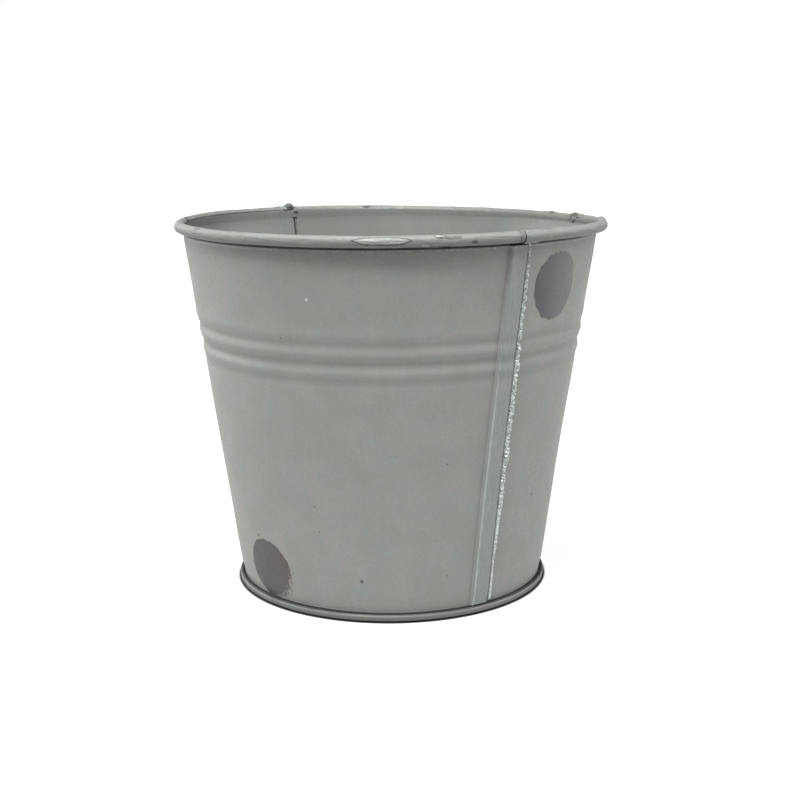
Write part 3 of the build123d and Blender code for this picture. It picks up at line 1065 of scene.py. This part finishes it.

# %% [markdown]
# ## Pinholes and shaded grooves
# Grit under the zinc leaves dark pinholes, and two bright ones are fresh. The grooves of the beads get
# painted shade. Each pinhole is an oval at its own place, and each groove a band at its own height.

# %% Pinholes and grooves
DARK_SPECKS = [  # azimuth, height, radius in mm
    (54.1, 50.2, 1.0),
    (69.0, 47.4, 1.2),
    (-23.6, 41.0, 0.5),
    (-9.8, 18.9, 1.2),
    (-24.6, 52.6, 0.5),
    (17.3, 72.8, 0.6),
    (-30.3, 127.5, 0.5),
    (19.3, 20.3, 0.5),
    (-51.8, 32.4, 1.1),
    (-130.0, 70.0, 0.9),
    (160.0, 110.0, 0.7),
    (115.0, 28.0, 1.0),
]
PALE_SPECKS = [(-21.5, 144.4, 0.7), (32.0, 164.1, 0.6)]
SHADED_GROOVES = [(47.2, 0.22), (55.6, 0.34), (63.2, 0.2)]  # distance below the rim, and how dark the painted shade is there
GROOVE_SHADE_LIFT = 0.9  # the painted shade sits on the lower slope of the bead above, which faces down


def with_specks(tree, colour, at):
    """Pinholes in the zinc, dark or pale, at their own places."""
    for spots, over, strength in ((DARK_SPECKS, SOOT_AND_SHADE, 0.75), (PALE_SPECKS, "#c4c8c4", 0.8)):
        for azimuth, height, radius in spots:
            degrees = math.degrees(radius / (wall_row(height)[0]))
            off = distance_from_spot(tree, at.unrolled, azimuth, height, degrees, radius)
            colour = stain(tree, colour, off, (0.2, 1.1), (strength, 0.0), over)
    return colour


def with_groove_shade(tree, colour, at):
    """Painted shade in the grooves between the beads."""
    for below, groove_shade in SHADED_GROOVES:
        up_wall = (WALL_LENGTH + CURL_OUTER_R - below) * math.cos(math.radians(LEAN))
        off = distance_from(tree, at.level, GROOVE_SHADE_LIFT + KNEE_Z + up_wall)
        # painted shade: a dark band over each groove
        colour = stain(tree, colour, off, (0.5, 2.6), (groove_shade, 0.0), ZINC_DARK)
    return colour


print(len(DARK_SPECKS) + len(PALE_SPECKS), "pinholes")

# %% [markdown]
# ## Bare spots
# Two round bare spots show where something lay against the sheet in the zinc bath. There the thin alloy
# layer under the zinc is blue-grey and smoother, browner on one side. Its edge is crisp in some places and
# speckled in others, so a noise bites into the oval's edge, more towards one side than the other.

# %% Bare spots
BARE_SPOTS = [  # azimuth, height, half width in degrees, half height in mm, speckled side, how much, colours
    (50.1, 146.8, 8.9, 14.8, 78, 0.28, "#3c4045", "#585a5a"),
    (-48.0, 17.5, 10.9, 13.9, -42, 1.3, "#36373b", "#4a4543"),
]
SPOT_EDGE = 0.98  # where the edge runs, as a share of the oval


def bare_spot(tree, at, azimuth, height, half_degrees, half_height, speckled_side, speckle):
    """The share that is bare, the reading whose SPOT_EDGE level is its edge, and the degrees across it."""
    across = add(tree, "Math", {0: at.azimuth, 1: azimuth}, operation="SUBTRACT")
    above = add(tree, "Math", {0: at.height, 1: height}, operation="SUBTRACT")
    side = math.radians(speckled_side)
    part_x = add(tree, "Math", {0: across, 1: math.cos(side) / half_degrees}, operation="MULTIPLY")
    part_y = math.sin(side) / half_height
    towards = add(tree, "Math", {0: above, 1: part_y, 2: part_x}, operation="MULTIPLY_ADD")
    fuzz = cover(tree, towards, (0.4, 0.95), (0.05, speckle))
    grit = {"Vector": at.place, "Scale": 1 / 0.9, "Detail": 3.0, "Roughness": 0.7}
    grit = add(tree, "TexNoise", grit)
    ragged = add(tree, "Math", {0: grit, 1: 0.5}, operation="SUBTRACT")
    bites = add(tree, "TexNoise", {"Vector": at.place, "Scale": 1 / 3.4})
    edge = distance_from_spot(tree, at.unrolled, azimuth, height, half_degrees, half_height)
    edge = add(tree, "Math", {0: ragged, 1: fuzz, 2: edge}, operation="MULTIPLY_ADD")
    edge = add(tree, "Math", {0: bites, 1: 0.16, 2: edge}, operation="MULTIPLY_ADD")
    edge = add(tree, "Math", {0: edge, 1: 0.08}, operation="SUBTRACT")
    return cover(tree, edge, (0.965, 0.995), (1.0, 0.0)), edge, across


def with_bare_spots(tree, colour, rough, relief, at):
    """The alloy showing through: darker, smoother, and a zinc coat lower."""
    for azimuth, middle, wide, tall, speckled_side, speckle, one_side, other_side in BARE_SPOTS:
        bare, edge, across = bare_spot(tree, at, azimuth, middle, wide, tall, speckled_side, speckle)
        alloy = stain(tree, one_side, across, (-wide, wide * 0.9), (0.0, 1.0), other_side)
        clouds = add(tree, "TexNoise", {"Vector": at.place, "Scale": 1 / 5.0, "Detail": 3.0})
        alloy = stain(tree, alloy, clouds, (0.4, 0.8), (0.0, 0.35), "#4e4b49")
        colour = add(tree, "Mix", {SHARE: bare, UNDER: colour, OVER: alloy}, data_type="RGBA")
        colour = stain(tree, colour, distance_from(tree, edge, SPOT_EDGE), (0.0, 0.045), (0.45, 0.0), SOOT_AND_SHADE)
        rough = add(tree, "Math", {0: bare, 1: -0.10, 2: rough}, operation="MULTIPLY_ADD")
        relief = add(tree, "Math", {0: bare, 1: -0.8, 2: relief}, operation="MULTIPLY_ADD")
    return colour, rough, relief


print(len(BARE_SPOTS), "bare spots")

# %% [markdown]
# ## The side seams
# Flux from soldering stains the folded seam in upright streaks. Its left edge stands proud and carries a
# pale line, partly rubbed bare zinc and partly painted highlight, most of all low down where hands and
# other buckets reach it. Along its right side, between the fold and the solder, runs a dark line of painted
# shade.

# %% Seam marks
SEAM_EDGE_OUT = 0.12  # the bright line's middle, outside the fold
SEAM_SHADE_LINE_IN = 0.5  # the painted shade line's middle, inside the other edge


def streaks_upright(tree, place):
    """Thin upright streaks, 0.7 mm wide and many times as long."""
    drawn_out = add(tree, "VectorMath", {0: place, 1: (1, 1, 0.06)}, operation="MULTIPLY")
    thin = {"Vector": drawn_out, "Scale": 1 / 0.7, "Detail": 3.0, "Roughness": 0.6}
    return add(tree, "TexNoise", thin)


def off_the_foot(tree, at):
    """1 on the wall and 0 on the foot ring."""
    return cover(tree, at.height, (FOOT_HEIGHT - 0.3, FOOT_HEIGHT))


def with_flux(tree, colour, at):
    """The stain of the flux over the width of each seam."""
    flux = stain(tree, "#6a736f", streaks_upright(tree, at.place), (0.35, 0.65), (0.0, 1.0), "#7b827e")
    off = distance_from(tree, at.seam, 0.0)
    return stain(tree, colour, off, (HALF - 0.2, HALF + 0.6), (0.5, 0.0), flux, off_the_foot(tree, at))


def with_seam_lines(tree, colour, at):
    """A pale line on the fold's edge, partly rubbed zinc and partly painted highlight, and a dark line of
    painted shade beside the solder.
    """
    on_wall = off_the_foot(tree, at)
    in_reach = cover(tree, at.height, (85.0, 125.0), (1.0, 0.3), on_wall)
    worn_and_lit = cover(tree, streaks_upright(tree, at.place), (0.3, 0.6), (0.6, 1.0), in_reach)
    from_edge = distance_from(tree, at.seam, -HALF - SEAM_EDGE_OUT)
    # pale line: rubbed bare zinc and a painted highlight
    colour = stain(tree, colour, from_edge, (0.18, 0.42), (1.0, 0.0), "#a0a7a3", worn_and_lit)
    from_shade_line = distance_from(tree, at.seam, HALF - SEAM_SHADE_LINE_IN)
    # painted shade: a dark line in the notch beside the solder
    return stain(tree, colour, from_shade_line, (0.3, 0.6), (0.6, 0.0), SOOT_AND_SHADE, on_wall)


print(f"seam lines {HALF + SEAM_EDGE_OUT:.2f} mm left and {HALF - SEAM_SHADE_LINE_IN:.2f} mm right of its middle")

# %% [markdown]
# ## Under the rim
# The curl leaves a narrow gap against the wall. Painted shade makes it black inside and darkens the wall
# below it, and bright flecks of zinc stand along its edge on the front, where the coat cracked as the sheet
# was rolled.

# %% Marks under the rim
GAP_LEVEL = 165.75  # height of the gap's lower edge
FLECK_LEVEL = 165.3


def with_rim_flecks_and_shade(tree, colour, at):
    """Bright flecks, then painted shade that darkens the wall towards the rim, in that order. The gap's
    painted shade comes last of all.
    """
    grains = add(tree, "TexNoise", {"Vector": at.place, "Scale": 1 / 0.55, "Roughness": 0.8})
    facing = cover(tree, distance_from(tree, at.azimuth, 0.0), (62.0, 80.0), (1.0, 0.0))
    flecks = cover(tree, grains, (0.50, 0.60), within=facing)
    off = distance_from(tree, at.level, FLECK_LEVEL)
    colour = stain(tree, colour, off, (0.15, 0.55), (0.9, 0.0), "#b4b8b4", flecks)
    # painted shade: the wall darkens upwards towards the rim, and more in the last 6 mm below it
    colour = stain(tree, colour, at.height, (115.0, 165.0), (0.0, 0.16), ZINC_DARK)
    return stain(tree, colour, at.level, (159.5, 166.0), (0.0, 0.42), "#4a4b47")


def with_rim_gap_shade(tree, colour, at):
    """Painted shade: the gap under the curl painted near black."""
    # painted shade: the gap's shadow as a near black band
    return stain(tree, colour, at.level, (GAP_LEVEL, GAP_LEVEL + 0.35), (0.0, 0.95), "#0c0c0b")


print(f"the gap under the rim starts {GAP_LEVEL} mm up, and its bright flecks stand at {FLECK_LEVEL} mm")

# %% [markdown]
# ## Round the foot
# The hooked base makes a ring round the foot. Painted shade darkens the crevice on top of the ring, the
# ring itself is darker with more painted shade low down, and a painted contact shadow makes its bottom edge
# nearly black.

# %% Marks round the foot
RING_TOP = FOOT_HEIGHT - HOOK_DROP


def with_foot_shade(tree, colour, at):
    """Painted shade in the crevice above the ring, a darker ring with more painted shade low down, and a
    painted contact shadow along its bottom.
    """
    off = distance_from(tree, at.height, RING_TOP)
    # painted shade in the crevice where the wall meets the ring
    colour = stain(tree, colour, off, (0.3, 0.65), (0.8, 0.0), "#1c1c1b")
    outer = cover(tree, at.radius, (FOOT_WALL_R - 2, FOOT_WALL_R - 1))
    on_ring = cover(tree, at.height, (RING_TOP, RING_TOP + 0.15), (1.0, 0.0), outer)
    # a darker ring, with painted shade growing towards its lower edge
    colour = stain(tree, colour, at.height, (2.0, 2.9), (0.55, 0.15), "#2f3332", on_ring)
    # painted contact shadow along the bottom of the ring
    return stain(tree, colour, at.height, (0.5, 1.1), (0.97, 0.0), "#121211")


print(f"the foot ring's top is {RING_TOP:.2f} mm above the floor")

# %% [markdown]
# ## Chips on the rim
# The rim takes the knocks. A chip is a lens that runs along the rim, with a ragged dark outline, and either
# bare zinc or dirt inside. The biggest, at the front, has a crack along it.

# %% Chips
RIM_CHIPS = [  # azimuth, angle round the wire, half length and breadth in degrees, finish, cover, raggedness
    (-1.4, -4, 6.8, 40, "#9ea29d", 0.9, 1.1),
    (12.1, 42, 1.5, 20, ZINC_BARE, 0.9, 1.6),
    (15.2, 22, 2.0, 16, SOOT_AND_SHADE, 0.6, 3.0),
    (8.6, -48, 1.5, 20, ZINC_BARE, 0.5, 2.0),
    (11.4, -76, 1.6, 13, SOOT_AND_SHADE, 0.8, 2.0),
    (20.3, -28, 0.7, 9, SOOT_AND_SHADE, 0.8, 2.0),
    (33.0, 20, 0.6, 80, SOOT_AND_SHADE, 0.5, 2.0),
    (-56.4, 68, 1.6, 22, SOOT_AND_SHADE, 0.5, 2.5),
    (-146.6, 96, 2.0, 55, SOOT_AND_SHADE, 0.7, 1.0),
    (-172.2, 128, 1.4, 24, SOOT_AND_SHADE, 0.6, 2.0),
    (-92.5, 140, 1.2, 24, SOOT_AND_SHADE, 0.6, 2.0),
    (109.6, 150, 2.4, 55, SOOT_AND_SHADE, 0.75, 1.2),
    (122.0, 122, 1.6, 24, SOOT_AND_SHADE, 0.5, 2.0),
]
CHIP_FADE = 6.0  # degrees over which a chip fades in from its edge
CRACK_AZIMUTH, CRACK_ANGLE = RIM_CHIPS[0][0], -14.0


def with_chips(tree, colour, relief, at):
    """Chips on the rolled rim, each sunk a little and with a dark outline."""
    slow = {"Vector": at.place, "Scale": 1 / 1.6, "Detail": 3.0, "Roughness": 0.6}
    slow = add(tree, "TexNoise", slow)
    wander = add(tree, "Math", {0: slow, 1: 0.5}, operation="SUBTRACT")
    lumps = {"Vector": at.place, "Scale": 1 / 1.1, "Detail": 3.0, "Roughness": 0.6}
    blotches = cover(tree, add(tree, "TexNoise", lumps), (0.35, 0.6), (0.6, 1.0))
    for azimuth, angle, length, breadth, over, strength, raggedness in RIM_CHIPS:
        along = distance_from(tree, at.azimuth, azimuth)
        along = add(tree, "Math", {0: along, 1: length}, operation="DIVIDE")
        taper = add(tree, "Math", {0: along, 1: 3.5}, operation="POWER")
        around = add(tree, "Math", {0: at.around_wire, 1: angle}, operation="SUBTRACT")
        ragged = {0: wander, 1: 14.0 * raggedness, 2: around}
        around = add(tree, "Math", ragged, operation="MULTIPLY_ADD")
        around = add(tree, "Math", {0: around}, operation="ABSOLUTE")
        off = add(tree, "Math", {0: taper, 1: breadth, 2: around}, operation="MULTIPLY_ADD")
        within = (breadth - CHIP_FADE, breadth)
        colour = stain(tree, colour, off, within, (strength, 0.0), over, blotches)
        colour = stain(tree, colour, distance_from(tree, off, breadth), (4.0, 11.0), (strength, 0.0), SOOT_AND_SHADE)
        depth = cover(tree, off, within, (strength, 0.0))
        relief = add(tree, "Math", {0: depth, 1: -1.2, 2: relief}, operation="MULTIPLY_ADD")
    crack = add(tree, "Math", {0: wander, 1: 26.0, 2: at.around_wire}, operation="MULTIPLY_ADD")
    along = distance_from(tree, at.azimuth, CRACK_AZIMUTH)
    near = cover(tree, along, (4.0, 5.0), (0.8, 0.0))
    off = distance_from(tree, crack, CRACK_ANGLE)
    return stain(tree, colour, off, (1.5, 4.0), (1.0, 0.0), SOOT_AND_SHADE, near), relief


print(len(RIM_CHIPS), "chips on the rim")

# %% [markdown]
# ## The rolled rim and the inside
# The rim is rolled so that the sheet's inner face is outermost. Years of lids and hands left fine scratches
# that run round it and a paler band where it is rubbed, and painted shade darkens its underside and just
# inside its top.

# %% Marks on the rim and inside


def with_rim_wear_and_shade(tree, colour, rough, at):
    """Scratches, rubbed bands and painted shade on the rolled rim, which is also a little rougher."""
    on_rim = cover(tree, at.height, (166.0, 168.0))
    drawn_out = add(tree, "VectorMath", {0: at.place, 1: (0.1, 0.1, 1)}, operation="MULTIPLY")
    scratches = {"Vector": drawn_out, "Scale": 1 / 0.45, "Detail": 3.0, "Roughness": 0.6}
    scratches = add(tree, "TexNoise", scratches)
    colour = stain(tree, colour, scratches, (0.5, 0.75), (0.0, 0.55), "#494b47", on_rim)
    colour = stain(tree, colour, at.height, (162.0, 166.0), (0.2, 0.0), ZINC_PALE)
    from_rubbed = distance_from(tree, at.around_wire, 60.0)
    colour = stain(tree, colour, from_rubbed, (20.0, 70.0), (0.25, 0.0), ZINC_PALE)
    # painted shade just inside the top of the rim
    colour = stain(tree, colour, distance_from(tree, at.height, 168.2), (1.0, 2.6), (0.4, 0.0), "#5a5c58")
    # painted shade on the underside of the rolled rim
    beneath = distance_from(tree, at.around_wire, -110.0)
    colour = stain(tree, colour, beneath, (15.0, 35.0), (0.5, 0.0), "#2d2e2b", on_rim)
    return colour, add(tree, "Math", {0: on_rim, 1: 0.14, 2: rough}, operation="MULTIPLY_ADD")


# %% [markdown]
# ## Both faces of the sheet
# The two faces of the sheet lived different lives, so each gets its own finish from the steps above. The
# order matters: what came later on the real bucket is laid over what came before.

# %% Zinc finishes


def galvanised(name, outside):
    """Weathered zinc for one face of the sheet."""
    material, tree, output = new_material(name)
    at = readings(tree)
    colour = with_flux(tree, zinc_skin(tree, at.place), at)
    cloudy = {"Vector": at.place, "Scale": 1 / 1.2, "Detail": 3.0, "Roughness": 0.65}
    rough = cover(tree, add(tree, "TexNoise", cloudy), (0.3, 0.7), MATTE)
    tooth = {"Vector": at.place, "Scale": 1 / 0.55, "Detail": 4.0, "Roughness": 0.6}
    relief = add(tree, "TexNoise", tooth)
    if outside:
        colour = with_groove_shade(tree, with_specks(tree, colour, at), at)
        colour, rough, relief = with_bare_spots(tree, colour, rough, relief, at)
        for later in (with_seam_lines, with_rim_flecks_and_shade, with_foot_shade, with_rim_gap_shade):
            colour = later(tree, colour, at)
    else:
        colour, relief = with_chips(tree, colour, relief, at)
        colour, rough = with_rim_wear_and_shade(tree, colour, rough, at)
    zinc_shader(tree, output, colour, rough, relief)
    return material


zinc_outside = galvanised("weathered_galvanised_steel_outside", True)
zinc_inside = galvanised("weathered_galvanised_steel_inside", False)
for panel in panels.values():
    panel.data.materials[0] = zinc_outside
    panel.data.materials[1] = zinc_inside
base.data.materials[0] = zinc_inside  # the base's path runs the other way round
base.data.materials[1] = zinc_outside
drips.data.materials.append(zinc_inside)
print(len(zinc_outside.node_tree.nodes), "nodes outside and", len(zinc_inside.node_tree.nodes), "inside")

# %% [markdown]
# ## Solder
# The solder is tin and zinc, wiped while soft, so its grains stay brighter than the sheet and the hollows
# between them hold dirt. The grain is a noise of 0.45 mm, used for the colour and for a bump.

# %% Solder finish


def wiped_solder():
    """Grainy, half-bright solder."""
    material, tree, output = new_material("wiped_tin_zinc_solder")
    place = readings(tree).place
    fine = {"Vector": place, "Scale": 1 / 0.45, "Detail": 2.0, "Roughness": 0.7}
    grains = add(tree, "TexNoise", fine)
    colour = stain(tree, "#848a88", grains, (0.40, 0.60), (0.0, 1.0), "#c6ccc9")
    patches = add(tree, "TexNoise", {"Vector": place, "Scale": 1.0})
    rough = cover(tree, patches, (0.3, 0.7), (0.45, 0.62))
    bump = add(tree, "Bump", {"Height": grains, "Strength": 0.5, "Distance": 0.15 * MM})
    tin = {"Base Color": colour, "Roughness": rough, "Metallic": 0.65, "Normal": bump}
    tree.links.new(add(tree, "BsdfPrincipled", tin).outputs[0], output.inputs["Surface"])
    return material


solder_finish = wiped_solder()
for bead in solders:
    bead.data.materials.append(solder_finish)
print(solder_finish.name, "on", len(solders), "beads")

# %% [markdown]
# ## Wire and sealant
# The wire in the rim and the compound in the base seam are hidden, but they are real pieces and get their
# own finish: bright drawn steel wire with faint die lines, and a matte rubbery paste. Each is a noise
# between two near colours.

# %% Hidden finishes


def hidden_finish(name, size, one, other, settings):
    """A plain finish that wavers between two colours, in patches of a size in millimetres."""
    material, tree, output = new_material(name)
    lumps = add(tree, "TexNoise", {"Vector": readings(tree).place, "Scale": 1 / size})
    colour = add(tree, "Mix", {SHARE: lumps, UNDER: one, OVER: other}, data_type="RGBA")
    shader = add(tree, "BsdfPrincipled", {"Base Color": colour, **settings})
    tree.links.new(shader.outputs[0], output.inputs["Surface"])
    return material


BRIGHT_STEEL = {"Roughness": 0.38, "Metallic": 1.0}
drawn_wire = hidden_finish("drawn_steel_wire", 0.4, "#8a8a88", "#a5a5a2", BRIGHT_STEEL)
paste = hidden_finish("butyl_sealing_compound", 2.0, "#a39c8c", "#b5ae9e", {"Roughness": 0.8})
wire.data.materials.append(drawn_wire)
for cad_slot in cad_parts["base_seal_ring"].material_slots:
    cad_slot.material = paste
print(drawn_wire.name, "and", paste.name)

# %% [markdown]
# ## Floor
# A dull metal pot is pictured on a light table: its top glows, so there is no shadow on it. Under the foot
# it is painted near black and does not glow, a painted contact shadow that shows at the foot's edge. The glow
# begins at the foot ring, and it is a ramp on the distance from the middle.

# %% Floor
TABLE_GLOW = 0.78
WHITE = "#ffffff"
FLOOR_HALF_SIZE = 3.0  # metres
floor_mesh = bpy.data.meshes.new("floor")
bm = bmesh.new()
bmesh.ops.create_grid(bm, x_segments=1, y_segments=1, size=FLOOR_HALF_SIZE)
bm.to_mesh(floor_mesh)
bm.free()
floor = new_piece("floor", floor_mesh)
floor_material, tree, output = new_material("white_light_table")
spot = add(tree, "TexCoord").outputs["Object"]
reach = add(tree, "VectorMath", {0: spot}, operation="LENGTH")
glow = cover(tree, reach, (74.5 * MM, 75.6 * MM), (0.0, TABLE_GLOW))
# painted contact shadow: the table is near black under the foot
table_colour_and_contact_shadow = stain(tree, "#1c1c1c", reach, (74.3 * MM, 75.2 * MM), (0.0, 1.0), "#7c7c7b")
acrylic = {"Base Color": table_colour_and_contact_shadow, "Roughness": 0.9, "Emission Color": WHITE, "Emission Strength": glow}
tree.links.new(add(tree, "BsdfPrincipled", acrylic).outputs[0], output.inputs["Surface"])
floor_mesh.materials.append(floor_material)
print("floor", 2 * FLOOR_HALF_SIZE, "m across")

# %% [markdown]
# ## Light
# Two windows above and in front, the left one brighter, shade the wall from left to right, and three wide
# softboxes low at the sides lift its edges. Each is a sun with a wide disc, so its light is as soft on the
# rim as on the foot. The white room itself adds little light, but the camera sees it at full brightness as
# a clean backdrop.

# %% Lamps
LAMP_DISTANCE = 1.5  # only where the lamp's icon stands; a sun shines alike from any distance


def soft_sun(name, azimuth, elevation, spread, strength):
    """A very large soft light far away, at an azimuth from the front and an elevation, in degrees."""
    data = bpy.data.lights.new(name, "SUN")
    data.energy = strength
    data.angle = math.radians(spread)
    lamp = bpy.data.objects.new(name, data)
    a = math.radians(azimuth)
    e = math.radians(elevation)
    towards = Vector((math.sin(a) * math.cos(e), -math.cos(a) * math.cos(e), math.sin(e)))
    lamp.location = towards * LAMP_DISTANCE
    lamp.rotation_euler = towards.to_track_quat("Z", "Y").to_euler()
    bpy.context.scene.collection.objects.link(lamp)


LAMPS = [  # azimuth, elevation, width of the disc in degrees, strength
    ("window_left", -25, 60, 14, 5.5),
    ("window_right", 30, 60, 14, 2.3),
    ("left_softbox", -105, 12, 50, 2.1),
    ("left_rear_softbox", -135, 12, 50, 0.8),
    ("right_softbox", 95, 12, 50, 1.9),
]
for lamp_values in LAMPS:
    soft_sun(*lamp_values)
print(len(LAMPS), "lamps")

# %% White room
SURROUND = 0.1  # how brightly the white room lights the bucket
BACKDROP = 1.0  # how brightly it shows behind it
world = bpy.data.worlds.new("white_room")
bpy.context.scene.world = world
world.use_nodes = True
tree = world.node_tree
tree.nodes.clear()
seen = add(tree, "LightPath").outputs["Is Camera Ray"]
strength = add(tree, "MapRange", {"Value": seen, "To Min": SURROUND, "To Max": BACKDROP})
room = add(tree, "Background", {"Color": WHITE, "Strength": strength})
add(tree, "OutputWorld", {"Surface": room})
print("the room lights the bucket at", SURROUND, "and shows at", BACKDROP)

# %% [markdown]
# ## Camera
# The camera stands 0.6 m away, a little above the rim, and looks down by 12 degrees with a lens of about 60
# mm, so the far rim and some of the inside show. It is rolled by a third of a degree, as a camera in the
# hand is.

# %% Camera
CAMERA_PLACE = (0.00446, -0.6181, 0.2140)
CAMERA_DOWN = 11.83  # degrees below level
CAMERA_ROLL = -0.352
camera_data = bpy.data.cameras.new("camera")
camera_data.lens = 59.05
camera_data.sensor_width = 36.0
camera_data.clip_start = 0.01
camera = bpy.data.objects.new("camera", camera_data)
aim = Euler((math.radians(90 - CAMERA_DOWN), 0, 0)).to_matrix()
roll = Euler((0, 0, math.radians(CAMERA_ROLL))).to_matrix()
camera.matrix_world = Matrix.Translation(CAMERA_PLACE) @ (aim @ roll).to_4x4()
bpy.context.scene.collection.objects.link(camera)
bpy.context.scene.camera = camera
bpy.context.scene.view_settings.view_transform = "Standard"
print("camera at", CAMERA_PLACE, "with a lens of", round(camera_data.lens, 2), "mm")
